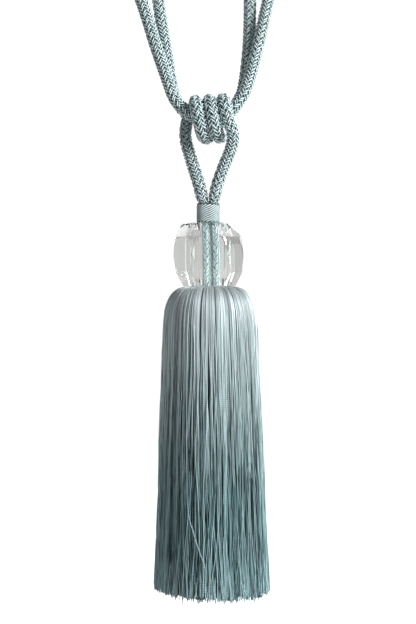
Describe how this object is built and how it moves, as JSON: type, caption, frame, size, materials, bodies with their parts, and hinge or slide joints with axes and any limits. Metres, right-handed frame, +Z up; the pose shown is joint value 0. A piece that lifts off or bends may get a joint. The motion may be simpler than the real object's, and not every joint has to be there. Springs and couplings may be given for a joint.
{
  "type": "curtain tieback tassel",
  "caption": "Curtain tieback: a doubled braided cord with a hook loop at each end, knotted round by a tassel's own cord, with a wound collar, a faceted clear bead and a long thread skirt.",
  "frame": {"origin": "on the line of the two hooks, above the tassel's axis, level with the places inside the loops where the hooks bear", "axes": "+Z up, -Y towards the front of the knot, +X to the right as seen from the front"},
  "size_m": [0.1484, 0.0832, 0.5032],
  "materials": {
    "embrace_cord": "satin braid of pale aqua and teal-grey yarn",
    "tassel_cord": "satin braid of pale aqua and teal-grey yarn",
    "collar_thread": "tightly wound thread",
    "clear_crystal": "clear polished facets",
    "skirt_thread": "glossy twisted thread"
  },
  "bodies": {
    "root": {"embrace_cord": "embrace_cord", "tassel_cord": "tassel_cord", "collar": "collar_thread", "crystal_bead": "clear_crystal", "skirt": "skirt_thread"}
  },
  "joints": []
}
